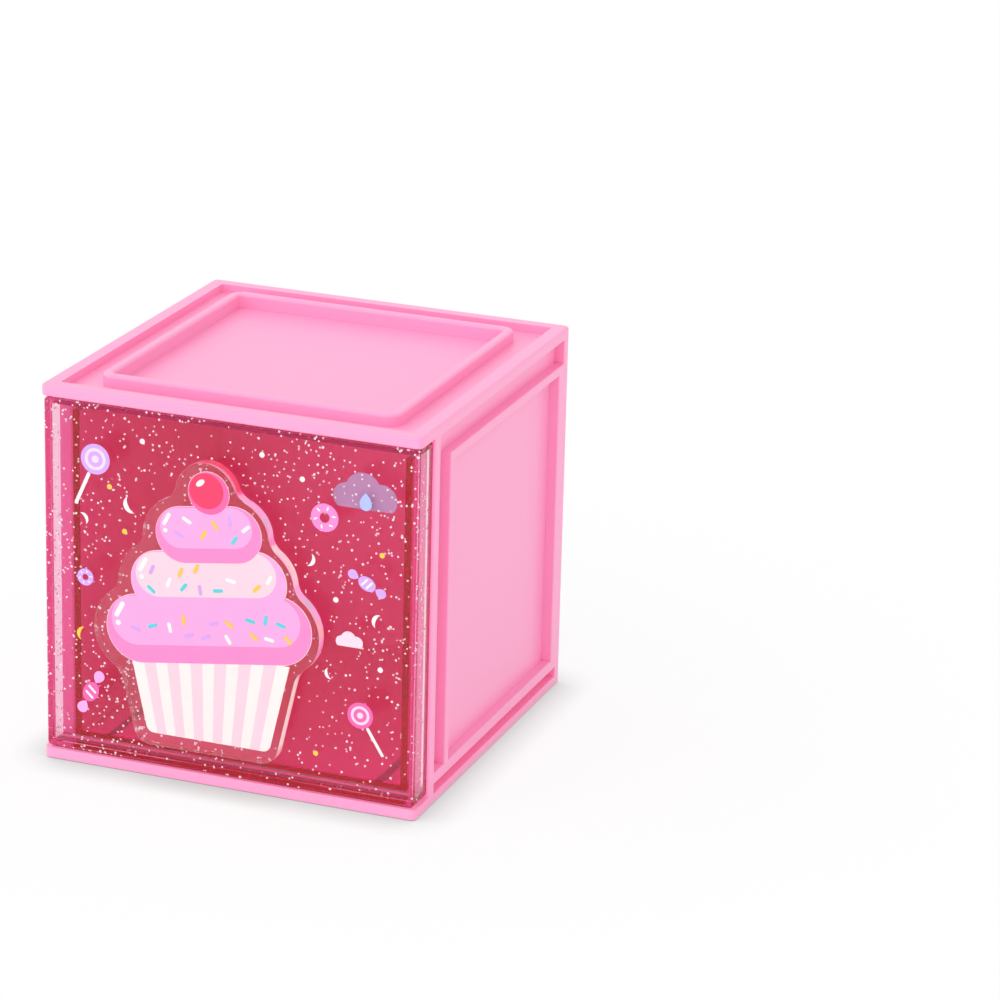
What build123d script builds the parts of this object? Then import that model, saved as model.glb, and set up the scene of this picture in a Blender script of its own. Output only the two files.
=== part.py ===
from build123d import *
import os

# Stackable desk cube with one drawer: a pink moulded casing and a clear glitter drawer whose thick badge is its grip.
# Millimetres. +Z is up and the drawer opens towards -Y. The origin is on the ground, under the centre of the whole
# box, badge included. A depth that is called "in" is measured backwards from the plane of the drawer's face.

os.makedirs("parts", exist_ok=True)

# Casing, outside
casing_width = 95.0
casing_depth = 97.0
casing_height = 93.0
corner_radius = 1.5
edge_radius = 0.6
lip_depth = 8.5
lip_thickness = 2.8
lip_edge = 0.6
mouth_edge = 0.4

# Casing, walls
side_wall = 2.0
top_wall = 2.2
floor_wall = 1.7
back_wall = 2.4
cavity_corner = 1.5

# Recesses in the casing's sides, the same on the left and on the right
side_recess = 2.5
front_border = 3.2
front_groove = 6.5
front_rib = 2.5
panel_back_border = 6.8
groove_back_border = 3.7
bottom_border = 2.4
bottom_groove = 2.5
bottom_rib = 2.7
top_border = 2.8
top_groove = 5.9
top_rib = 2.3
rib_edge = 0.3

# Recess in the casing's back
back_recess = 1.3
back_border = 4.5

# Stacking ring on top, and the hollow under the box that takes the ring of a box below
ring_inset = 10.0
ring_wall = 2.5
ring_corner = 3.5
ring_rise = 1.0
ring_edge = 0.8
ring_floor_drop = 2.6
rim_width = 3.6
trench_depth = 2.0
stack_clearance = 0.6
stack_hollow = 1.1

# Drawer front: the cover's shell and the tray's front plate behind it
front_setback = 0.3
front_side_gap = 0.6
front_lip_gap = 0.3
front_corner = 1.0
cover_wall = 2.0
cover_flange = 1.7
cover_edge = 0.9
flange_edge = 0.3
seam_gap = 0.15
front_plate = 2.0
plate_edge = 0.2
rest_gap = 0.1

# Drawer tray
tray_wall = 1.7
tray_floor = 1.7
tray_side_gap = 0.4
tray_floor_gap = 0.5
tray_back_gap = 1.3
tray_top_gap = 2.7
tray_inner_corner = 2.0
tray_floor_edge = 1.0
tray_outer_corner = 2.5
tray_bottom_edge = 1.5
tray_rim_edge = 0.4
runner_width = 2.0
runner_inset = 8.0
runner_gap = 0.15

# Drawer stop: tabs on the tray's back wall meet beads under the casing's ceiling
drawer_travel = 68.0
stop_gap = 0.3
stop_width = 12.0
stop_spacing = 52.0
stop_bead = 1.5
stop_bead_drop = 1.6
stop_tab_gap = 0.5

# Badge: a cupcake in outline, its icing in three tilted tiers with a cherry on top
cup_bottom_width = 31.0
cup_top_width = 41.0
cup_height = 22.0
cup_corner = 2.0
tier_count = 3
tier_width = 52.4
tier_width_step = 12.8
tier_height = 17.0
tier_height_step = 1.6
tier_pitch = 11.6
tier_tilt = 8.0
tier_lap = 2.5
cherry_radius = 5.2
cherry_lap = 2.0
badge_margin = 2.5
badge_notch_radius = 5.0
badge_edge = 0.5
badge_x = -4.2
badge_bottom_z = 9.2
badge_plate_thickness = 3.0
badge_film_thickness = 0.16
badge_adhesive_thickness = 0.25
glue_line = 0.03
adhesive_inset = 1.0

# How far before or behind a plane edges are looked for
pick_slack = 0.5

# Where things end up
adhesive_in = front_setback - glue_line
film_in = adhesive_in - badge_adhesive_thickness - glue_line
badge_plate_in = film_in - badge_film_thickness - glue_line
badge_stand_off = badge_plate_thickness - badge_plate_in
front_y = (badge_stand_off - casing_depth) / 2
back_y = front_y + casing_depth
middle_y = (front_y + back_y) / 2
lip_end_y = front_y + lip_depth
lip_under_z = casing_height - lip_thickness

side_total = side_recess + side_wall
cavity_width = casing_width - 2 * side_total
cavity_floor_z = stack_hollow + floor_wall
ring_floor_z = casing_height - ring_floor_drop
cavity_ceiling_z = ring_floor_z - top_wall
cavity_height = cavity_ceiling_z - cavity_floor_z
cavity_end_in = casing_depth - back_recess - back_wall

front_width = casing_width - 2 * front_side_gap
front_bottom_z = lip_thickness + front_lip_gap
front_height = lip_under_z - front_lip_gap - front_bottom_z
front_middle_z = front_bottom_z + front_height / 2
plate_back_in = lip_depth - rest_gap
plate_in = plate_back_in - front_plate
cover_back_in = plate_in - seam_gap

tray_width = cavity_width - 2 * tray_side_gap
tray_bottom_z = cavity_floor_z + tray_floor_gap
tray_floor_z = tray_bottom_z + tray_floor
tray_top_z = cavity_ceiling_z - tray_top_gap
tray_end_in = cavity_end_in - tray_back_gap
tray_inside_end_in = tray_end_in - tray_wall

stop_bead_in = tray_inside_end_in - drawer_travel - stop_gap - stop_bead
stop_tab_top_z = cavity_ceiling_z - stop_tab_gap

tier_widths = [tier_width - i * tier_width_step for i in range(tier_count)]
tier_heights = [tier_height - i * tier_height_step for i in range(tier_count)]
cup_bottom_z = badge_bottom_z + badge_margin
cup_top_z = cup_bottom_z + cup_height
first_tier_z = cup_top_z - tier_lap + tier_height / 2
tier_centres_z = [first_tier_z + i * tier_pitch for i in range(tier_count)]
cherry_z = tier_centres_z[-1] + tier_heights[-1] / 2 - cherry_lap + cherry_radius


def facing_front(depth_in):
    """The upright plane that looks out of the front, a given depth behind the drawer's face."""
    return Plane.XZ.offset(-(front_y + depth_in))


def level(z):
    """The level plane at a given height."""
    return Plane.XY.offset(z)


# Casing, from one block with a pocket for the drawer's front at the open end
with BuildPart() as casing:
    with BuildSketch(Plane.XY):
        with Locations((0, middle_y)):
            RectangleRounded(casing_width, casing_depth, corner_radius)
    extrude(amount=casing_height)
    fillet(casing.faces().filter_by(Axis.Z).edges(), edge_radius)

    with BuildSketch(facing_front(0)):
        with Locations((0, (lip_thickness + lip_under_z) / 2)):
            Rectangle(casing_width, lip_under_z - lip_thickness)
    extrude(amount=-lip_depth, mode=Mode.SUBTRACT)
    lip_faces = casing.faces().filter_by(Axis.Z).filter_by_position(Axis.Z, lip_thickness, lip_under_z)
    fillet(lip_faces.edges().filter_by_position(Axis.Y, front_y, lip_end_y - pick_slack), lip_edge)
    mouth_edges = casing.edges().filter_by(Axis.Z).filter_by_position(Axis.Z, lip_thickness, lip_under_z)
    fillet(mouth_edges.filter_by_position(Axis.Y, front_y, lip_end_y + pick_slack), mouth_edge)

    # The drawer's space, whose floor is level with the bottom lip
    with BuildSketch(facing_front(lip_depth)) as cavity_section:
        with Locations((0, cavity_floor_z + cavity_height / 2)):
            Rectangle(cavity_width, cavity_height)
        fillet(cavity_section.vertices().group_by(Axis.Y)[-1], cavity_corner)
    extrude(amount=-(cavity_end_in - lip_depth), mode=Mode.SUBTRACT)
    opening_edges = casing.edges().filter_by_position(Axis.Y, lip_end_y, lip_end_y)
    opening_edges = opening_edges.filter_by_position(Axis.X, -cavity_width / 2, cavity_width / 2)
    fillet(opening_edges.filter_by_position(Axis.Z, cavity_floor_z, cavity_ceiling_z), mouth_edge)

    # Grooves, ribs and panel of the right side, cut to the recess depth and mirrored to the left
    groove_in = lip_depth + front_border
    panel_in = groove_in + front_groove + front_rib
    panel_end_in = casing_depth - panel_back_border
    groove_end_in = casing_depth - groove_back_border
    low_groove_z = bottom_border
    panel_z = bottom_border + bottom_groove + bottom_rib
    top_groove_z = casing_height - top_border - top_groove
    panel_top_z = top_groove_z - top_rib
    with BuildSketch(Plane.YZ.offset(casing_width / 2)):
        with Locations((front_y + groove_in, low_groove_z)):
            Rectangle(groove_end_in - groove_in, bottom_groove, align=Align.MIN)
        with Locations((front_y + panel_in, panel_z)):
            Rectangle(panel_end_in - panel_in, panel_top_z - panel_z, align=Align.MIN)
        with Locations((front_y + groove_in, panel_z)):
            Rectangle(front_groove, top_groove_z + top_groove - panel_z, align=Align.MIN)
        with Locations((front_y + groove_in, top_groove_z)):
            Rectangle(groove_end_in - groove_in, top_groove, align=Align.MIN)
    right_recess = extrude(amount=-side_recess, mode=Mode.SUBTRACT)
    mirror(right_recess, about=Plane.YZ, mode=Mode.SUBTRACT)
    pattern_edges = casing.edges().filter_by_position(Axis.Z, low_groove_z, top_groove_z + top_groove)
    pattern_edges = pattern_edges.filter_by_position(Axis.Y, front_y + groove_in, front_y + groove_end_in)
    outer_edges = pattern_edges.group_by(Axis.X)[0] + pattern_edges.group_by(Axis.X)[-1]
    fillet(outer_edges, rib_edge)

    # Shallow panel in the back
    with BuildSketch(facing_front(casing_depth)):
        with Locations((0, casing_height / 2)):
            Rectangle(casing_width - 2 * back_border, casing_height - 2 * back_border)
    extrude(amount=back_recess, mode=Mode.SUBTRACT)

    # Top: a trench round the stacking ring, the ring itself and the dished floor inside it
    ring_width = casing_width - 2 * ring_inset
    ring_depth = casing_depth - 2 * ring_inset
    with BuildSketch(level(casing_height)):
        with Locations((0, middle_y)):
            RectangleRounded(casing_width - 2 * rim_width, casing_depth - 2 * rim_width, edge_radius)
            RectangleRounded(ring_width, ring_depth, ring_corner, mode=Mode.SUBTRACT)
    extrude(amount=-trench_depth, mode=Mode.SUBTRACT)
    with BuildSketch(level(casing_height)):
        with Locations((0, middle_y)):
            RectangleRounded(ring_width, ring_depth, ring_corner)
    extrude(amount=ring_rise)
    with BuildSketch(level(casing_height + ring_rise)):
        with Locations((0, middle_y)):
            RectangleRounded(ring_width - 2 * ring_wall, ring_depth - 2 * ring_wall, ring_corner - ring_wall)
    extrude(amount=-(ring_rise + ring_floor_drop), mode=Mode.SUBTRACT)
    fillet(casing.faces().sort_by(Axis.Z)[-1].edges(), ring_edge)

    # Underside: the hollow that drops over the ring of a box below
    with BuildSketch(Plane.XY):
        with Locations((0, middle_y)):
            RectangleRounded(ring_width + 2 * stack_clearance, ring_depth + 2 * stack_clearance, ring_corner)
    extrude(amount=stack_hollow, mode=Mode.SUBTRACT)

    # Beads under the ceiling that hold the drawer back at the end of its travel
    with BuildSketch(facing_front(stop_bead_in)):
        with Locations((0, cavity_ceiling_z)):
            with GridLocations(stop_spacing, 0, 2, 1):
                Rectangle(stop_width, stop_bead_drop, align=(Align.CENTER, Align.MAX))
    extrude(amount=-stop_bead)
casing.part.label = "casing"

# Drawer tray: the plate that closes the cover's back, with an open box behind it
with BuildPart() as drawer_tray:
    with BuildSketch(facing_front(plate_in)):
        with Locations((0, front_middle_z)):
            RectangleRounded(front_width, front_height, front_corner)
    extrude(amount=-front_plate)
    fillet(drawer_tray.faces().filter_by(Axis.Y).edges(), plate_edge)

    box_start_y = front_y + plate_in + front_plate / 2
    box_end_y = front_y + tray_end_in
    with BuildSketch(level(tray_bottom_z)) as tray_plan:
        with Locations((0, (box_start_y + box_end_y) / 2)):
            Rectangle(tray_width, box_end_y - box_start_y)
        fillet(tray_plan.vertices().group_by(Axis.Y)[-1], tray_outer_corner)
    extrude(amount=tray_top_z - tray_bottom_z)
    bottom_edges = drawer_tray.faces().filter_by(Axis.Z).sort_by(Axis.Z)[1].edges()
    fillet(bottom_edges.filter_by_position(Axis.Y, lip_end_y + pick_slack, back_y), tray_bottom_edge)

    inside_start_y = front_y + plate_back_in
    inside_end_y = front_y + tray_inside_end_in
    inside_length = inside_end_y - inside_start_y
    with BuildSketch(level(tray_floor_z)) as inside_plan:
        with Locations((0, (inside_start_y + inside_end_y) / 2)):
            Rectangle(tray_width - 2 * tray_wall, inside_length)
        fillet(inside_plan.vertices().group_by(Axis.Y)[-1], tray_inner_corner)
    extrude(amount=tray_top_z - tray_floor_z, mode=Mode.SUBTRACT)
    fillet(drawer_tray.edges().filter_by_position(Axis.Z, tray_floor_z, tray_floor_z), tray_floor_edge)

    # Stop tabs on the back wall, then the rounded rim between them
    with BuildSketch(facing_front(tray_inside_end_in)):
        with Locations((0, tray_top_z)):
            with GridLocations(stop_spacing, 0, 2, 1):
                Rectangle(stop_width, stop_tab_top_z - tray_top_z, align=(Align.CENTER, Align.MIN))
    extrude(amount=-tray_wall)
    rim_faces = drawer_tray.faces().filter_by(Axis.Z).filter_by_position(Axis.Z, tray_top_z, tray_top_z)
    fillet(rim_faces.edges().filter_by_position(Axis.Y, lip_end_y + pick_slack, back_y), tray_rim_edge)

    # Runners under the floor
    runner_height = tray_floor_gap - runner_gap
    with BuildSketch(level(tray_bottom_z)):
        with Locations((0, (inside_start_y + inside_end_y) / 2)):
            with GridLocations(tray_width - 2 * runner_inset, 0, 2, 1):
                Rectangle(runner_width, inside_length)
    extrude(amount=-runner_height)
drawer_tray.part.label = "drawer_tray"

# Front cover: a shallow shell with its open side at the back
with BuildPart() as front_cover:
    with BuildSketch(facing_front(front_setback)):
        with Locations((0, front_middle_z)):
            RectangleRounded(front_width, front_height, front_corner)
    extrude(amount=-(cover_back_in - front_setback))
    fillet(front_cover.faces().sort_by(Axis.Y)[0].edges(), cover_edge)
    fillet(front_cover.faces().sort_by(Axis.Y)[-1].edges(), flange_edge)
    with BuildSketch(facing_front(front_setback + cover_wall)):
        with Locations((0, front_middle_z)):
            Rectangle(front_width - 2 * cover_flange, front_height - 2 * cover_flange)
    extrude(amount=-(cover_back_in - front_setback - cover_wall), mode=Mode.SUBTRACT)
front_cover.part.label = "front_cover"


def cupcake_outline(depth_in, grow):
    """The cupcake's outline on an upright plane, grown all round with its notches rounded off."""
    with BuildSketch(facing_front(depth_in)) as outline:
        with BuildLine():
            Polyline(
                (badge_x - cup_bottom_width / 2, cup_bottom_z),
                (badge_x + cup_bottom_width / 2, cup_bottom_z),
                (badge_x + cup_top_width / 2, cup_top_z),
                (badge_x - cup_top_width / 2, cup_top_z),
                close=True,
            )
        make_face()
        fillet(outline.vertices().group_by(Axis.Y)[0], cup_corner)
        for width, height, z in zip(tier_widths, tier_heights, tier_centres_z):
            with Locations((badge_x, z)):
                SlotOverall(width, height, rotation=tier_tilt)
        with Locations((badge_x, cherry_z)):
            Circle(cherry_radius)
        if grow > 0:
            offset(amount=grow + badge_notch_radius, kind=Kind.ARC)
            offset(amount=-badge_notch_radius, kind=Kind.ARC)
        elif grow < 0:
            offset(amount=grow, kind=Kind.ARC)
    return outline.sketch


# Badge, from the cover outwards: mounting sheet, printed film and thick clear plate
with BuildPart() as badge_adhesive:
    extrude(cupcake_outline(adhesive_in, -adhesive_inset), amount=badge_adhesive_thickness)
badge_adhesive.part.label = "badge_adhesive"

with BuildPart() as badge_film:
    extrude(cupcake_outline(film_in, 0), amount=badge_film_thickness)
badge_film.part.label = "badge_film"

with BuildPart() as badge_plate:
    extrude(cupcake_outline(badge_plate_in, badge_margin), amount=badge_plate_thickness)
    fillet(badge_plate.faces().sort_by(Axis.Y)[0].edges(), badge_edge)
badge_plate.part.label = "badge_plate"

for piece in (casing, drawer_tray, front_cover, badge_adhesive, badge_film, badge_plate):
    export_step(piece.part, "parts/" + piece.part.label + ".step")
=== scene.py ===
import math
import random

import bmesh
import bpy
from mathutils import Matrix, Vector


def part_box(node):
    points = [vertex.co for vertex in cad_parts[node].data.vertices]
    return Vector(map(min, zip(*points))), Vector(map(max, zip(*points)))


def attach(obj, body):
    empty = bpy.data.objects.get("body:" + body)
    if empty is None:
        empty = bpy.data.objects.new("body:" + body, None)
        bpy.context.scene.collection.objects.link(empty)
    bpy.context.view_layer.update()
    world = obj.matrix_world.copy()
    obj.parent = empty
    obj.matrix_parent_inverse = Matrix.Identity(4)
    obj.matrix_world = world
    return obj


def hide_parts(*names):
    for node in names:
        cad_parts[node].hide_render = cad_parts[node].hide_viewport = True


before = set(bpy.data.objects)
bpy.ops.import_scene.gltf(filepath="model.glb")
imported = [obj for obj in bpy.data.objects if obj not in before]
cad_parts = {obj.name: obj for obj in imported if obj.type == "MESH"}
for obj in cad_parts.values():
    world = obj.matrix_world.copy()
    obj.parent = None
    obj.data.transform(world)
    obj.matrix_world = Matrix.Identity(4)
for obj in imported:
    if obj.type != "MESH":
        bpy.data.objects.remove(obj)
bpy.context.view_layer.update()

# A stacking desk cube: a glossy pink casing and a clear, tinted glitter drawer, whose thick badge is its grip.
# Lengths are written in millimetres and multiplied by mm, because the scene is in metres.
mm = 0.001

# The casing's stacking ring and the cover's walls, as in the solids
ring_rise = 1.0
cover_wall = 2.0
cover_flange = 1.7

# How far the casing looks for another face, with how many rays, and the openness up to which painted shade makes its
# colour deeper. That is so in the 0.3 mm gaps round the cover, and neither in the wider gaps round the tray nor in the
# casing's own corners.
gap_reach = 0.5 * mm
gap_rays = 32
gap_open = (0.38, 0.5)

# The casing's gloss. It is rougher than 0.275 all over, because a render's noise is taken out in another way below
# that, and a line shows along the change.
casing_roughness = (0.29, 0.35)
casing_relief = 0.1 * mm

# How strongly clear plastic refracts, and how much a face looks to the front where its frost starts to go and is gone
clear_ior = 1.4
frost_facing = (0.25, 0.6)

# The smoothest and the roughest place of a print and of a flake, and how metallic a flake is
ink_roughness = (0.35, 0.5)
pearl_roughness = (0.3, 0.5)
pearl_metal = 0.4

# Sizes of the slow unevenness of each surface, and of the fine one where it has that too
mottle_detail = 3
casing_flow = 30 * mm
clear_flow = 14 * mm
ink_mottle = (6 * mm, 0.25 * mm)
pearl_mottle = (3 * mm, 0.4 * mm)

# The darkest and the brightest shade that each colour drifts to
casing_shades = (0.985, 1.01)
ink_shades = (0.96, 1.03)
pearl_shades = (0.9, 1.1)

# The badge's cupcake, as in the solids
cup_bottom_width = 31.0
cup_top_width = 41.0
cup_height = 22.0
tier_width = 52.4
tier_width_step = 12.8
tier_height = 17.0
tier_height_step = 1.6
tier_pitch = 11.6
tier_tilt = 8.0
tier_lap = 2.5
cherry_radius = 5.2
cherry_lap = 2.0

# The print on the badge's film, in layers, which is pressed a little way into the plate's back so that no air shows.
# The icing has the layers under the cherry's.
film_bond = 0.02
ink_layer = 0.015
cherry_layers = 8
sprinkle_layers = 9
print_inset = 0.1
pleat_count = 7
sprinkle_length = 2.6
sprinkle_height = 0.9
sprinkle_gap = 3.6
sprinkles_lowest = 15
sprinkles_step = 4
sprinkle_tries = 400

# The ink of the small motifs on the drawer's face
motif_ink = 0.02
motif_gap = 0.004

# Glitter flakes in the cover. Their radii are the least, the largest and the most common one.
front_flakes = 1500
side_flakes = 90
level_flakes = 25
flake_clusters = 90
clustered_share = 0.6
cluster_spread = 4.0
flake_radii = (0.16, 0.36, 0.24)
flake_thickness = 0.03
flake_clear = 0.3
flake_depth = 0.45
flake_lean = 0.2

# Colours as linear light
casing_pink = (0.995, 0.355, 0.60)
# Painted shade of the casing in the hairline gaps round the cover: on upright faces, and deeper on level ones
painted_gap_pink = (0.73, 0.25, 0.39)
painted_gap_red = (0.30, 0.05, 0.08)
ink_colours = {
    "white": (0.96, 0.93, 0.94),
    "cream": (0.97, 0.88, 0.87),
    "blush": (0.97, 0.66, 0.78),
    "light_pink": (0.97, 0.40, 0.80),
    "mid_pink": (0.96, 0.25, 0.62),
    "hot_pink": (0.96, 0.12, 0.42),
    "lilac": (0.63, 0.38, 0.90),
    "gold": (0.95, 0.60, 0.07),
    "turquoise": (0.08, 0.68, 0.78),
    "sky": (0.42, 0.50, 0.95),
    "cherry": (0.90, 0.02, 0.13),
}
mist_colour = (0.53, 0.47, 0.66)
mist_cover = 0.8
flake_pearl = (0.99, 0.93, 0.95)

# Studio light: an even part, and softboxes, each a direction in degrees round from the front to the right and up from
# the floor, a strength, and how narrow it is
even_light = 0.7
softboxes = (
    (280, 28, 0.85, 3),
    (115, 25, 0.4, 3),
    (350, 12, 1.2, 3),
)


def new_material(name):
    """A material with its node tree, and the shader that it shows."""
    material = bpy.data.materials.new(name)
    material.use_nodes = True
    return material, material.node_tree, material.node_tree.nodes["Principled BSDF"]


def mottle_group():
    """Slow and fine unevenness of a moulded or printed surface, each from 0 to 1."""
    group = bpy.data.node_groups.new("mottle", "ShaderNodeTree")
    group.interface.new_socket("Vector", in_out="INPUT", socket_type="NodeSocketVector")
    entry = group.nodes.new("NodeGroupInput")
    end = group.nodes.new("NodeGroupOutput")
    for name in ("Slow", "Fine"):
        group.interface.new_socket(name + " Scale", in_out="INPUT", socket_type="NodeSocketFloat")
        group.interface.new_socket(name, in_out="OUTPUT", socket_type="NodeSocketFloat")
        noise = group.nodes.new("ShaderNodeTexNoise")
        noise.inputs["Detail"].default_value = mottle_detail
        group.links.new(entry.outputs["Vector"], noise.inputs["Vector"])
        group.links.new(entry.outputs[name + " Scale"], noise.inputs["Scale"])
        group.links.new(noise.outputs["Fac"], end.inputs[name])
    return group


def edge_band_group():
    """1 on faces that stand square to the front and 0 on those that lie along it."""
    group = bpy.data.node_groups.new("edge_band", "ShaderNodeTree")
    group.interface.new_socket("Normal", in_out="INPUT", socket_type="NodeSocketVector")
    group.interface.new_socket("Band", in_out="OUTPUT", socket_type="NodeSocketFloat")
    entry = group.nodes.new("NodeGroupInput")
    end = group.nodes.new("NodeGroupOutput")
    parts = group.nodes.new("ShaderNodeSeparateXYZ")
    group.links.new(entry.outputs["Normal"], parts.inputs["Vector"])
    size = math_node(group, "ABSOLUTE", parts.outputs["Y"])
    spread = group.nodes.new("ShaderNodeMapRange")
    spread.inputs["From Min"].default_value, spread.inputs["From Max"].default_value = frost_facing
    spread.inputs["To Min"].default_value = 1
    spread.inputs["To Max"].default_value = 0
    group.links.new(size, spread.inputs["Value"])
    group.links.new(spread.outputs["Result"], end.inputs["Band"])
    return group


def math_node(tree, operation, *values):
    """A sum of one kind on sockets or plain numbers; its result."""
    node = tree.nodes.new("ShaderNodeMath")
    node.operation = operation
    for socket, value in zip(node.inputs, values):
        if isinstance(value, (int, float)):
            socket.default_value = value
        else:
            tree.links.new(value, socket)
    return node.outputs[0]


mottle = mottle_group()
edge_band = edge_band_group()


def add_mottle(tree, slow_size, fine_size=None):
    """Places the mottle group on the piece's own coordinates. The fine size is left out where only Slow is read."""
    place = tree.nodes.new("ShaderNodeTexCoord")
    node = tree.nodes.new("ShaderNodeGroup")
    node.node_tree = mottle
    node.inputs["Slow Scale"].default_value = 1 / slow_size
    if fine_size:
        node.inputs["Fine Scale"].default_value = 1 / fine_size
    tree.links.new(place.outputs["Object"], node.inputs["Vector"])
    return node


def add_edge_band(tree):
    """Places the edge band group on the piece's own normals; its mask."""
    place = tree.nodes.new("ShaderNodeTexCoord")
    node = tree.nodes.new("ShaderNodeGroup")
    node.node_tree = edge_band
    tree.links.new(place.outputs["Normal"], node.inputs["Normal"])
    return node.outputs["Band"]


def map_value(tree, source, low, high):
    """A value from 0 to 1 spread between two others."""
    node = tree.nodes.new("ShaderNodeMapRange")
    node.inputs["To Min"].default_value = low
    node.inputs["To Max"].default_value = high
    tree.links.new(source, node.inputs["Value"])
    return node.outputs["Result"]


def mix_colours(tree, factor, first, second):
    """Two colours, each a plain one or a socket, mixed by a value."""
    node = tree.nodes.new("ShaderNodeMix")
    node.data_type = "RGBA"
    for socket, colour in (("A", first), ("B", second)):
        if isinstance(colour, tuple):
            node.inputs[socket].default_value = (*colour, 1)
        else:
            tree.links.new(colour, node.inputs[socket])
    tree.links.new(factor, node.inputs["Factor"])
    return node.outputs["Result"]


def add_bump(tree, shader, height, distance):
    """Surface relief of a given depth in metres."""
    node = tree.nodes.new("ShaderNodeBump")
    node.inputs["Strength"].default_value = 1.0
    node.inputs["Distance"].default_value = distance
    tree.links.new(height, node.inputs["Height"])
    tree.links.new(node.outputs["Normal"], shader.inputs["Normal"])


def shade(colour, factor):
    """The same colour, brighter or darker."""
    return tuple(min(1.0, c * factor) for c in colour)


def mottled(tree, uneven, colour, darkest, brightest):
    """A colour that drifts slowly between two shades of itself."""
    return mix_colours(tree, uneven.outputs["Slow"], shade(colour, darkest), shade(colour, brightest))


def gloss_plastic(name, colour, upright_painted_shade, level_painted_shade):
    """
    Opaque moulded plastic: an even colour with a faint flow pattern under a soft gloss. Painted shade makes it deeper
    in hairline gaps, and deepest in the level ones, which get no light through the clear flange above or below.
    """
    material, tree, shader = new_material(name)
    uneven = add_mottle(tree, casing_flow)
    tone = mottled(tree, uneven, colour, *casing_shades)
    place = tree.nodes.new("ShaderNodeTexCoord")
    parts = tree.nodes.new("ShaderNodeSeparateXYZ")
    tree.links.new(place.outputs["Normal"], parts.inputs["Vector"])
    painted_gap_shade = mix_colours(tree, math_node(tree, "ABSOLUTE", parts.outputs["Z"]), upright_painted_shade, level_painted_shade)
    # Ambient occlusion finds the hairline gaps, and there the colour is mixed towards the painted shade
    around = tree.nodes.new("ShaderNodeAmbientOcclusion")
    around.samples = gap_rays
    around.inputs["Distance"].default_value = gap_reach
    openness = tree.nodes.new("ShaderNodeMapRange")
    openness.inputs["From Min"].default_value, openness.inputs["From Max"].default_value = gap_open
    tree.links.new(around.outputs["AO"], openness.inputs["Value"])
    tree.links.new(mix_colours(tree, openness.outputs["Result"], painted_gap_shade, tone), shader.inputs["Base Color"])
    tree.links.new(map_value(tree, uneven.outputs["Slow"], *casing_roughness), shader.inputs["Roughness"])
    add_bump(tree, shader, uneven.outputs["Slow"], casing_relief)
    return material


def clear_plastic(name, absorbed, mirror_tint, haze, milk=0.0, frost=0.0):
    """
    Clear plastic that takes up red, green and blue by so much per metre, and lets the light for what is behind it go
    straight through. Haze roughens it, milk is its cloudy share, and frost roughens what doesn't look to the front.
    """
    material, tree, shader = new_material(name)
    shader.inputs["Base Color"].default_value = (1, 1, 1, 1)
    shader.inputs["Transmission Weight"].default_value = 1 - milk
    shader.inputs["IOR"].default_value = clear_ior
    shader.inputs["Specular Tint"].default_value = (*mirror_tint, 1)
    uneven = add_mottle(tree, clear_flow)
    polish = map_value(tree, uneven.outputs["Slow"], haze, 2 * haze)
    if frost:
        frosted = math_node(tree, "MULTIPLY", add_edge_band(tree), frost)
        polish = math_node(tree, "MAXIMUM", polish, frosted)
    tree.links.new(polish, shader.inputs["Roughness"])
    path = tree.nodes.new("ShaderNodeLightPath")
    lamp_ray = math_node(tree, "MAXIMUM", path.outputs["Is Shadow Ray"], path.outputs["Is Diffuse Ray"])
    straight = tree.nodes.new("ShaderNodeBsdfTransparent")
    pick = tree.nodes.new("ShaderNodeMixShader")
    tree.links.new(lamp_ray, pick.inputs[0])
    tree.links.new(shader.outputs[0], pick.inputs[1])
    tree.links.new(straight.outputs[0], pick.inputs[2])
    end = tree.nodes["Material Output"]
    tree.links.new(pick.outputs[0], end.inputs["Surface"])
    depth = tree.nodes.new("ShaderNodeVolumeAbsorption")
    strongest = max(absorbed)
    depth.inputs["Density"].default_value = strongest
    depth.inputs["Color"].default_value = (*[1 - a / strongest for a in absorbed], 1)
    tree.links.new(depth.outputs[0], end.inputs["Volume"])
    return material


def ink(name, colour, cover=1.0):
    """Printed colour with the fine unevenness of a film print, see-through where it covers less than 1."""
    material, tree, shader = new_material(name)
    uneven = add_mottle(tree, *ink_mottle)
    tree.links.new(mottled(tree, uneven, colour, *ink_shades), shader.inputs["Base Color"])
    tree.links.new(map_value(tree, uneven.outputs["Fine"], *ink_roughness), shader.inputs["Roughness"])
    shader.inputs["Alpha"].default_value = cover
    return material


def pearl(name, colour):
    """Pearly foil of the glitter: partly metal, with a haze that differs from flake to flake."""
    material, tree, shader = new_material(name)
    uneven = add_mottle(tree, *pearl_mottle)
    tree.links.new(mottled(tree, uneven, colour, *pearl_shades), shader.inputs["Base Color"])
    tree.links.new(map_value(tree, uneven.outputs["Fine"], *pearl_roughness), shader.inputs["Roughness"])
    shader.inputs["Metallic"].default_value = pearl_metal
    return material


casing_material = gloss_plastic("casing_plastic", casing_pink, painted_gap_pink, painted_gap_red)
tray_material = clear_plastic(
    "clear_tint", absorbed=(1.2, 150, 52), mirror_tint=(1.0, 0.8, 0.85), haze=0.07, milk=0.006
)
cover_material = clear_plastic(
    "clear_glitter", absorbed=(8, 115, 64), mirror_tint=(0.6, 0.45, 0.5), haze=0.01, milk=0.003
)
badge_material = clear_plastic(
    "clear_acrylic", absorbed=(0.5, 12, 14), mirror_tint=(1.0, 1.0, 1.0), haze=0.01, frost=0.28
)
sheet_material = ink("mounting_white", ink_colours["white"])
inks = {name: ink("ink_" + name, colour) for name, colour in ink_colours.items()}
inks["mist"] = ink("ink_mist", mist_colour, mist_cover)
flake_material = pearl("flake_pearl", flake_pearl)

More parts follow.
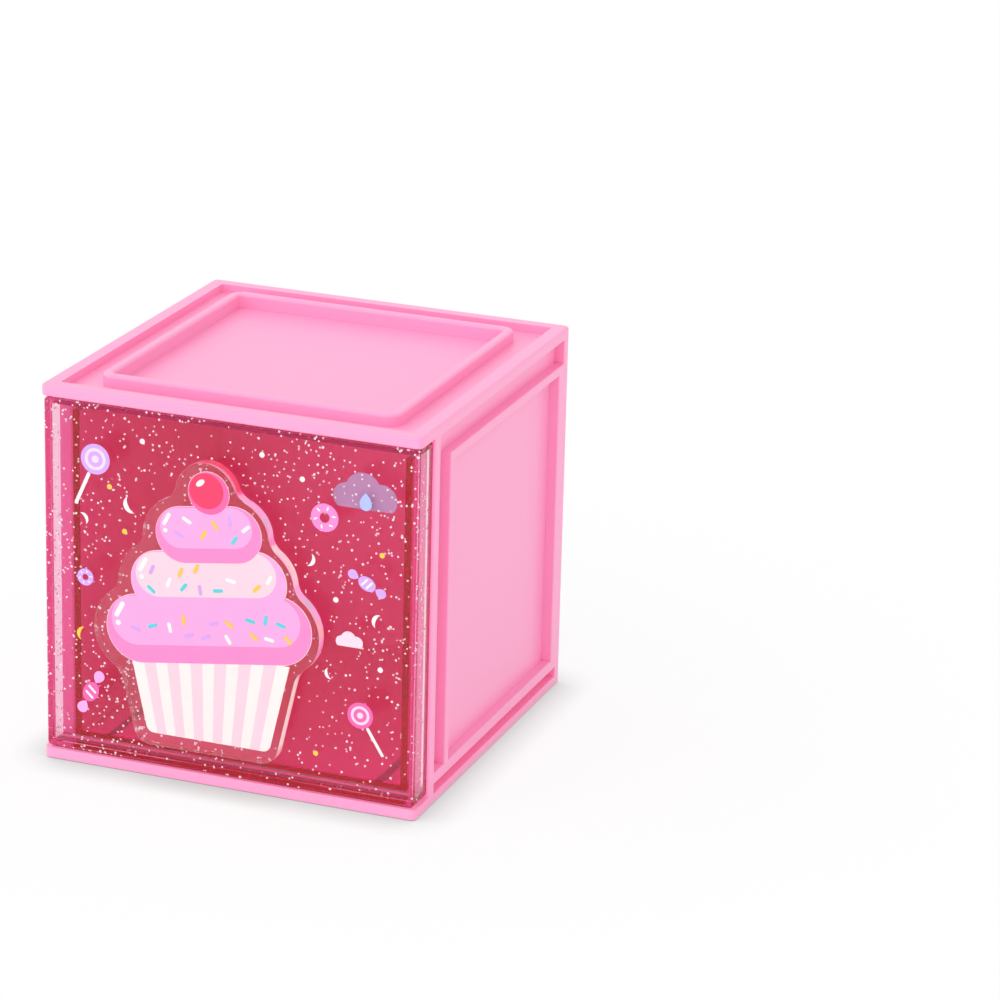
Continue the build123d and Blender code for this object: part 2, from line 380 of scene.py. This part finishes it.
for node, material, slot in (
    ("casing", casing_material, "casing_plastic"),
    ("drawer_tray", tray_material, "clear_tint"),
    ("front_cover", cover_material, "clear_glitter"),
    ("badge_plate", badge_material, "clear_acrylic"),
    ("badge_adhesive", sheet_material, "mounting_sheet"),
):
    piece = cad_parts[node]
    piece.data.materials.clear()
    piece.data.materials.append(material)


def new_piece(name, shape, material):
    """A finished mesh as a named piece that moves with the drawer."""
    mesh = bpy.data.meshes.new(name)
    shape.to_mesh(mesh)
    shape.free()
    mesh.materials.append(material)
    piece = bpy.data.objects.new(name, mesh)
    bpy.context.scene.collection.objects.link(piece)
    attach(piece, "drawer")
    return piece


def on_front(x, y, z):
    """From a drawing in millimetres, seen from the front with its thickness towards the viewer, to the scene."""
    return Matrix.Translation((x * mm, y * mm, z * mm)) @ Matrix.Rotation(math.pi / 2, 4, "X") @ Matrix.Scale(mm, 4)


# Outlines that a unit disc's rim is moved to, in millimetres
def oval(half_width, half_height):
    return lambda x, y: (x * half_width, y * half_height)


def bar(length, height):
    straight = (length - height) / 2
    return lambda x, y: (x * height / 2 + math.copysign(straight, x), y * height / 2)


def moon(size):
    return lambda x, y: (x * size if x > 0 else -0.45 * x * size, y * size)


def droplet(width, length):
    return lambda x, y: (x * width * (abs(x) if y > 0 else 1), y * (length if y > 0 else width))


def round_lobes(size, floor, *discs):
    """The outline round discs that all reach over the middle, each its x, y and radius, cut off flat below."""
    def place(x, y):
        reach = 0
        for disc_x, disc_y, radius in discs:
            along = disc_x * x + disc_y * y
            aside = disc_y * x - disc_x * y
            if abs(aside) < radius:
                reach = max(reach, along + math.sqrt(radius**2 - aside**2))
        return x * reach * size, max(floor, y * reach) * size
    return place


def cloud(size):
    return round_lobes(size, -0.32, (-0.52, -0.02, 0.4), (-0.05, 0.2, 0.52), (0.5, 0, 0.45), (0, -0.1, 0.4))


def plate(outline, sides=48):
    """Draws a flat plate of ink: a disc whose rim is moved to an outline."""
    def draw(shape, thickness):
        middle = Matrix.Translation((0, 0, thickness / 2)) @ Matrix.Rotation(math.pi / sides, 4, "Z")
        rim = bmesh.ops.create_cone(
            shape, cap_ends=True, segments=sides, radius1=1, radius2=1, depth=thickness, matrix=middle
        )["verts"]
        for vert in rim:
            vert.co.x, vert.co.y = outline(vert.co.x, vert.co.y)
        return rim
    return draw


def ring(outer, inner, sides=40):
    """
    Draws a flat ring of ink: a band and a second one above it, with two walls between them. The walls are bridged,
    because an extrusion numbers its faces differently each time.
    """
    def draw(shape, thickness):
        made = []
        outer_wall, inner_wall = [], []
        for height in (0, thickness):
            rims = [
                bmesh.ops.create_circle(shape, cap_ends=False, segments=sides, radius=radius)["verts"]
                for radius in (outer, inner)
            ]
            rim_edges = [list(dict.fromkeys(edge for vert in rim for edge in vert.link_edges)) for rim in rims]
            bmesh.ops.bridge_loops(shape, edges=rim_edges[0] + rim_edges[1])
            bmesh.ops.translate(shape, vec=(0, 0, height), verts=rims[0] + rims[1])
            outer_wall += rim_edges[0]
            inner_wall += rim_edges[1]
            made += rims[0] + rims[1]
        for wall in (outer_wall, inner_wall):
            bmesh.ops.bridge_loops(shape, edges=wall)
        faces = dict.fromkeys(face for vert in made for face in vert.link_faces)
        bmesh.ops.recalc_face_normals(shape, faces=list(faces))
        return made
    return draw


# Badge print
film_low, film_high = (Vector(corner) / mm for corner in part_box("badge_film"))
print_x = (film_low.x + film_high.x) / 2
film_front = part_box("badge_plate")[1].y / mm - film_bond
first_tier_z = film_low.z + cup_height - tier_lap + tier_height / 2
tiers = [
    (tier_width - i * tier_width_step, tier_height - i * tier_height_step, first_tier_z + i * tier_pitch)
    for i in range(3)
]
cherry_z = tiers[-1][2] + tiers[-1][1] / 2 - cherry_lap + cherry_radius


def backing_film():
    """The film itself: the solid with its front face against the plate."""
    shape = bmesh.new()
    shape.from_mesh(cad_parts["badge_film"].data)
    bmesh.ops.remove_doubles(shape, verts=shape.verts, dist=0.001 * mm)
    for vert in shape.verts:
        if vert.co.y / mm < (film_low.y + film_high.y) / 2:
            vert.co.y = film_front * mm
    piece = new_piece("film_backing", shape, inks["cream"])
    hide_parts("badge_film")


def print_ink(name, colour, thickness, marks, at, turn=0):
    """One printed colour: marks that are drawn round a point, each with its place and turn, then turned together."""
    shape = bmesh.new()
    for draw, x, y, own_turn in marks:
        made = draw(shape, thickness)
        place = Matrix.Translation((x, y, 0)) @ Matrix.Rotation(math.radians(own_turn), 4, "Z")
        bmesh.ops.transform(shape, matrix=place, verts=made)
    whole = on_front(*at) @ Matrix.Rotation(math.radians(turn), 4, "Z")
    bmesh.ops.transform(shape, matrix=whole, verts=shape.verts)
    new_piece(name, shape, inks[colour])


def cup_pleats():
    """Tapered stripes that narrow with the cup towards its foot."""
    shape = bmesh.new()
    pitch = 1 / (2 * pleat_count - 1)
    for i in range(pleat_count - 1):
        corners = bmesh.ops.create_cube(shape, size=1)["verts"]
        for vert in corners:
            across = -0.5 + (2 * i + 1 + (vert.co.x + 0.5)) * pitch
            height = vert.co.y + 0.5
            width = cup_bottom_width + (cup_top_width - cup_bottom_width) * height - 2 * print_inset
            vert.co.x = across * width
            vert.co.y = film_low.z + print_inset + height * (cup_height - print_inset)
            vert.co.z = (vert.co.z + 0.5) * ink_layer
    bmesh.ops.transform(shape, matrix=on_front(print_x, film_front, 0), verts=shape.verts)
    new_piece("cup_pleats", shape, inks["blush"])


def icing(i, shade_colour, colour):
    """One tier of icing: its shaded rim, its body, and a shine that follows its left end."""
    name = ("icing_lower", "icing_middle", "icing_upper")[i]
    width, height, z = tiers[i]
    width -= 2 * print_inset
    height -= 2 * print_inset
    rim_layers = 2 * i + 2
    at = (print_x, film_front, z)
    rim = plate(bar(width, height))
    print_ink(name + "_rim", shade_colour, rim_layers * ink_layer, [(rim, 0, 0, 0)], at, tier_tilt)
    body_x, body_z = -0.03 * height, 0.12 * height
    body_width, body_height = width - 0.24 * height, 0.72 * height
    body = plate(bar(body_width, body_height))
    print_ink(name, colour, (rim_layers + 1) * ink_layer, [(body, body_x, body_z, 0)], at, tier_tilt)
    end_x = body_x - (body_width - body_height) / 2
    shine_reach = 0.27 * height
    shine = []
    for bearing, outline in ((144, bar(0.26 * height, 0.07 * height)), (188, oval(0.04 * height, 0.04 * height))):
        angle = math.radians(bearing)
        spot = (end_x + shine_reach * math.cos(angle), body_z + shine_reach * math.sin(angle))
        shine.append((plate(outline, 24), *spot, bearing - 90))
    print_ink(name + "_shine", "white", (rim_layers + 1.5) * ink_layer, shine, at, tier_tilt)


def cherry():
    """A cherry on top, with its shaded side and a shine."""
    radius = cherry_radius - print_inset
    at = (print_x, film_front, cherry_z)
    for name, colour, level, outline, x, y, turn in (
        ("cherry_rim", "hot_pink", 0, oval(radius, radius), 0, 0, 0),
        ("cherry", "cherry", 1, oval(0.84 * radius, 0.84 * radius), -0.1 * radius, 0.09 * radius, 0),
        ("cherry_shine", "white", 2, oval(0.24 * radius, 0.13 * radius), -0.4 * radius, 0.44 * radius, 38),
    ):
        print_ink(name, colour, (cherry_layers + level) * ink_layer, [(plate(outline), x, y, turn)], at)


def sprinkles(seed):
    """Small bars of four colours over the open part of each tier, none nearer to another than the gap."""
    chance = random.Random(seed)
    tilt = Matrix.Rotation(math.radians(tier_tilt), 2)
    placed = []
    for i, (width, height, z) in enumerate(tiers):
        covered_from = tiers[i + 1][2] - tiers[i + 1][1] / 2 - z if i < 2 else cherry_z - cherry_radius - z
        bottom = -0.14 * height
        top = min(0.38 * height, covered_from - sprinkle_length / 2)
        tier_placed = []
        tries = 0
        while len(tier_placed) < sprinkles_lowest - sprinkles_step * i and tries < sprinkle_tries:
            tries += 1
            spot = tilt @ Vector((chance.uniform(-0.38, 0.4) * width, chance.uniform(bottom, top)))
            spot.y += z
            if all((spot - other).length > sprinkle_gap for other, _ in placed + tier_placed):
                tier_placed.append((spot, chance.uniform(0, 180)))
        placed += tier_placed
    mark = plate(bar(sprinkle_length, sprinkle_height), 16)
    for i, colour in enumerate(("gold", "turquoise", "lilac", "white")):
        marks = [(mark, spot.x, spot.y, turn) for spot, turn in placed[i::4]]
        print_ink("sprinkles_" + colour, colour, sprinkle_layers * ink_layer, marks, (print_x, film_front, 0))


backing_film()
cup_pleats()
icing(0, "mid_pink", "light_pink")
icing(1, "light_pink", "blush")
icing(2, "mid_pink", "light_pink")
cherry()
sprinkles(seed=5)

# Sweets and weather printed small on the drawer's face, which is bare elsewhere. The numbers in their functions are
# shares of a motif's size. Its x, z and size are in millimetres, and its turn is in degrees.
face_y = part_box("front_cover")[0].y / mm - motif_gap


def face_ink(name, colour, level, marks, x, z, turn=0):
    """One colour of a small motif, as many layers up as its level."""
    print_ink(name, colour, level * motif_ink, marks, (x, face_y, z), turn)


def lollipop(name, colour, x, z, size, turn):
    """A disc with a paler swirl on a stick."""
    stick = (plate(bar(2.4 * size, 0.24 * size), 16), 0, -2.22 * size, 90)
    face_ink(name + "_stick", "cream", 1, [stick], x, z, turn)
    face_ink(name, colour, 1, [(plate(oval(size, size)), 0, 0, 0)], x, z, turn)
    swirl = [(ring(0.72 * size, 0.52 * size), 0, 0, 0), (plate(oval(0.24 * size, 0.24 * size), 24), 0, 0, 0)]
    face_ink(name + "_swirl", "blush", 2, swirl, x, z, turn)


def candy(name, colour, wrap, x, z, size, turn):
    """A wrapped sweet: an oval body between two fans of paper."""
    fans = [
        (plate(droplet(0.5 * size, 0.75 * size)), side * 1.76 * size, 0, side * 90) for side in (-1, 1)
    ]
    face_ink(name + "_wrap", wrap, 1, fans, x, z, turn)
    face_ink(name, colour, 1, [(plate(oval(0.98 * size, 0.72 * size)), 0, 0, 0)], x, z, turn)
    stripes = [(plate(bar(0.95 * size, 0.2 * size), 16), share * size, 0, 75) for share in (-0.3, 0.3)]
    face_ink(name + "_stripes", "white", 2, stripes, x, z, turn)


def doughnut(name, colour, x, z, size):
    """An iced ring with dots on it."""
    face_ink(name, colour, 1, [(ring(size, 0.36 * size), 0, 0, 0)], x, z)
    dots = []
    mark = plate(bar(0.3 * size, 0.12 * size), 12)
    for i in range(6):
        angle = math.radians(60 * i + 12)
        dots.append((mark, 0.68 * size * math.cos(angle), 0.68 * size * math.sin(angle), 70 * i))
    face_ink(name + "_dots", "cream", 2, dots, x, z)


lollipop("lollipop_lilac", "lilac", -33.6, 76.6, 3.7, -24)
lollipop("lollipop_rose", "hot_pink", 33.4, 24.0, 3.2, 32)
candy("candy_rose", "hot_pink", "light_pink", -35.2, 18.6, 2.7, 62)
candy("candy_lilac", "lilac", "lilac", 34.6, 56.4, 2.3, -28)
doughnut("doughnut_rose", "mid_pink", 24.0, 70.8, 3.4)
doughnut("doughnut_lilac", "lilac", -36.4, 47.2, 2.1)
face_ink("moon_gold", "gold", 1, [(plate(moon(1.7)), 0, 0, 0)], -37.0, 33.0, 165)

# The misty cloud is on the back of the cover's wall, behind the drop
wall_back = face_y + motif_gap + cover_wall + motif_ink / 2
print_ink("cloud_mist", "mist", motif_ink, [(plate(cloud(8.4), 96), 0, 0, 0)], (33.2, wall_back, 76.4))
face_ink("drop_sky", "sky", 1, [(plate(droplet(1.5, 2.7)), 0, 0, 0)], 34.0, 75.4)

face_ink("cloud_blush", "blush", 1, [(plate(cloud(3.6), 96), 0, 0, 0)], 30.4, 41.6)
for i, (x, z, size, turn) in enumerate((
    (-24.4, 66.8, 2.1, 205),
    (-37.0, 61.6, 1.5, 30),
    (37.6, 47.6, 1.7, 160),
    (20.2, 60.2, 1.6, -20),
    (25.8, 33.2, 1.4, 200),
)):
    face_ink("moon_%d" % (i + 1), "white", 1, [(plate(moon(size)), 0, 0, 0)], x, z, turn)
for name, colour, places in (
    ("dots_white", "white", ((-21.6, 82.6), (8.4, 83.6), (18.4, 79.2), (27.0, 51.4), (38.2, 36.0))),
    ("dots_gold", "gold", ((-26.2, 60.0), (22.4, 12.8), (38.2, 63.8), (-30.0, 70.4))),
):
    face_ink(name, colour, 1, [(plate(oval(0.65, 0.65), 16), x, z, 0) for x, z in places], 0, 0)

# Glitter
cover_low, cover_high = (Vector(corner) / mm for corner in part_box("front_cover"))


def flakes(name, low, high, thin_axis, count, chance, centres=()):
    """Thin six-sided flakes scattered in a wall, tilted a little from its plane, most of them in loose clusters."""
    shape = bmesh.new()
    size = high - low
    facing = {"X": Vector((1, 0, 0)), "Y": Vector((0, 1, 0)), "Z": Vector((0, 0, 1))}[thin_axis]
    for _ in range(count):
        spot = Vector([low[i] + size[i] * chance.random() for i in range(3)])
        if centres and chance.random() < clustered_share:
            near = chance.choice(centres)
            spot.x = min(high.x, max(low.x, near.x + chance.gauss(0, cluster_spread)))
            spot.z = min(high.z, max(low.z, near.z + chance.gauss(0, cluster_spread)))
        lean = facing + Vector([chance.gauss(0, flake_lean) for _ in range(3)])
        turn = lean.to_track_quat("Z", "Y").to_matrix().to_4x4()
        spin = Matrix.Rotation(chance.uniform(0, math.pi), 4, "Z")
        radius = chance.triangular(*flake_radii)
        bmesh.ops.create_cone(
            shape,
            cap_ends=True,
            segments=6,
            radius1=radius,
            radius2=radius,
            depth=flake_thickness,
            matrix=Matrix.Translation(spot) @ turn @ spin,
        )
    bmesh.ops.transform(shape, matrix=Matrix.Scale(mm, 4), verts=shape.verts)
    new_piece(name, shape, flake_material)


def glitter(seed):
    """Flakes near the face of the cover's front wall, and in its four flanges."""
    chance = random.Random(seed)
    low = cover_low + Vector((flake_clear, flake_clear, flake_clear))
    high = cover_high - Vector((flake_clear, flake_clear, flake_clear))
    front_high = Vector((high.x, low.y + flake_depth, high.z))
    centres = [
        Vector((chance.uniform(low.x, high.x), low.y, chance.uniform(low.z, high.z))) for _ in range(flake_clusters)
    ]
    flakes("glitter_front", low, front_high, "Y", front_flakes, chance, centres)
    low.y += cover_wall
    thin = cover_flange - 2 * flake_clear
    flakes("glitter_left", low, Vector((low.x + thin, high.y, high.z)), "X", side_flakes, chance)
    flakes("glitter_right", Vector((high.x - thin, low.y, low.z)), high, "X", side_flakes, chance)
    flakes("glitter_bottom", low, Vector((high.x, high.y, low.z + thin)), "Z", level_flakes, chance)
    flakes("glitter_top", Vector((low.x, low.y, high.z - thin)), high, "Z", level_flakes, chance)


glitter(seed=11)

# Floor: matt and pale, and mostly plain white for the eye, so that it stays white round a soft shadow. The white part
# has a painted close shadow under the lip, from ambient occlusion, which the matt part's wide cast one is too faint
# for.
floor_material, floor_tree, floor_shader = new_material("studio_floor")
floor_shader.inputs["Base Color"].default_value = (0.92, 0.92, 0.92, 1)
floor_shader.inputs["Roughness"].default_value = 0.9
floor_shader.inputs["Specular IOR Level"].default_value = 0.0
floor_white = 0.85
painted_shadow_reach = 11 * mm
painted_shadow_depth = 0.35


def seen_ray(tree):
    """1 for rays from the eye, also by way of a gloss or through glass."""
    path = tree.nodes.new("ShaderNodeLightPath")
    direct = math_node(tree, "MAXIMUM", path.outputs["Is Camera Ray"], path.outputs["Is Transmission Ray"])
    return math_node(tree, "MAXIMUM", direct, path.outputs["Is Glossy Ray"])


plain_white = floor_tree.nodes.new("ShaderNodeEmission")
# Ambient occlusion dims the plain white near the object: a painted close shadow
open_sky = floor_tree.nodes.new("ShaderNodeAmbientOcclusion")
open_sky.inputs["Distance"].default_value = painted_shadow_reach
painted_shadow = map_value(floor_tree, open_sky.outputs["AO"], 1 - 2 * painted_shadow_depth, 1.0)
floor_tree.links.new(painted_shadow, plain_white.inputs["Strength"])
floor_mix = floor_tree.nodes.new("ShaderNodeMixShader")
floor_tree.links.new(math_node(floor_tree, "MULTIPLY", seen_ray(floor_tree), floor_white), floor_mix.inputs[0])
floor_tree.links.new(floor_shader.outputs[0], floor_mix.inputs[1])
floor_tree.links.new(plain_white.outputs[0], floor_mix.inputs[2])
floor_tree.links.new(floor_mix.outputs[0], floor_tree.nodes["Material Output"].inputs["Surface"])
floor_mesh = bpy.data.meshes.new("studio_floor")
floor_shape = bmesh.new()
bmesh.ops.create_grid(floor_shape, x_segments=1, y_segments=1, size=3.0)
floor_shape.to_mesh(floor_mesh)
floor_shape.free()
floor = bpy.data.objects.new("studio_floor", floor_mesh)
floor_mesh.materials.append(floor_material)
bpy.context.scene.collection.objects.link(floor)


def studio_world():
    """The even light all round plus the softboxes. Where the eye sees it, it is plain white."""
    world = bpy.data.worlds.new("studio_light")
    bpy.context.scene.world = world
    world.use_nodes = True
    tree = world.node_tree
    place = tree.nodes.new("ShaderNodeTexCoord")
    total = even_light
    for azimuth, elevation, strength, narrow in softboxes:
        a, e = math.radians(azimuth), math.radians(elevation)
        lobe = tree.nodes.new("ShaderNodeVectorMath")
        lobe.operation = "DOT_PRODUCT"
        lobe.inputs[1].default_value = (math.sin(a) * math.cos(e), -math.cos(a) * math.cos(e), math.sin(e))
        tree.links.new(place.outputs["Generated"], lobe.inputs[0])
        facing = math_node(tree, "MAXIMUM", lobe.outputs["Value"], 0)
        spread = math_node(tree, "POWER", facing, narrow)
        total = math_node(tree, "MULTIPLY_ADD", spread, strength, total)
    seen = tree.nodes.new("ShaderNodeMix")
    seen.data_type = "FLOAT"
    seen.inputs["B"].default_value = 1
    tree.links.new(seen_ray(tree), seen.inputs["Factor"])
    tree.links.new(total, seen.inputs["A"])
    background = tree.nodes["Background"]
    background.inputs["Color"].default_value = (1, 1, 1, 1)
    tree.links.new(seen.outputs["Result"], background.inputs["Strength"])


studio_world()

# Camera
casing_low, casing_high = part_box("casing")
casing_middle = (casing_low + casing_high) / 2 - Vector((0, 0, ring_rise * mm / 2))
camera_azimuth = math.radians(20.37)
camera_elevation = math.radians(19.11)
camera_roll = math.radians(1.49)
camera_distance = 999.9 * mm
camera_lens = 149.5
aim_right = 45.6 * mm
aim_up = 9.3 * mm

back = Vector((
    math.sin(camera_azimuth) * math.cos(camera_elevation),
    -math.cos(camera_azimuth) * math.cos(camera_elevation),
    math.sin(camera_elevation),
))
level_right = Vector((0, 0, 1)).cross(back).normalized()
level_up = back.cross(level_right)
right = math.cos(camera_roll) * level_right + math.sin(camera_roll) * level_up
up = -math.sin(camera_roll) * level_right + math.cos(camera_roll) * level_up
camera_data = bpy.data.cameras.new("camera")
camera_data.lens = camera_lens
camera_data.sensor_width = 36
camera = bpy.data.objects.new("camera", camera_data)
place = casing_middle + right * aim_right + up * aim_up + back * camera_distance
camera.matrix_world = Matrix.Translation(place) @ Matrix((right, up, back)).transposed().to_4x4()
bpy.context.scene.collection.objects.link(camera)
bpy.context.scene.camera = camera

scene = bpy.context.scene
scene.view_settings.view_transform = "Standard"
scene.cycles.use_denoising = True
scene.cycles.max_bounces = 60
scene.cycles.transmission_bounces = 40
scene.cycles.glossy_bounces = 40
scene.cycles.transparent_max_bounces = 256
scene.cycles.diffuse_bounces = 32
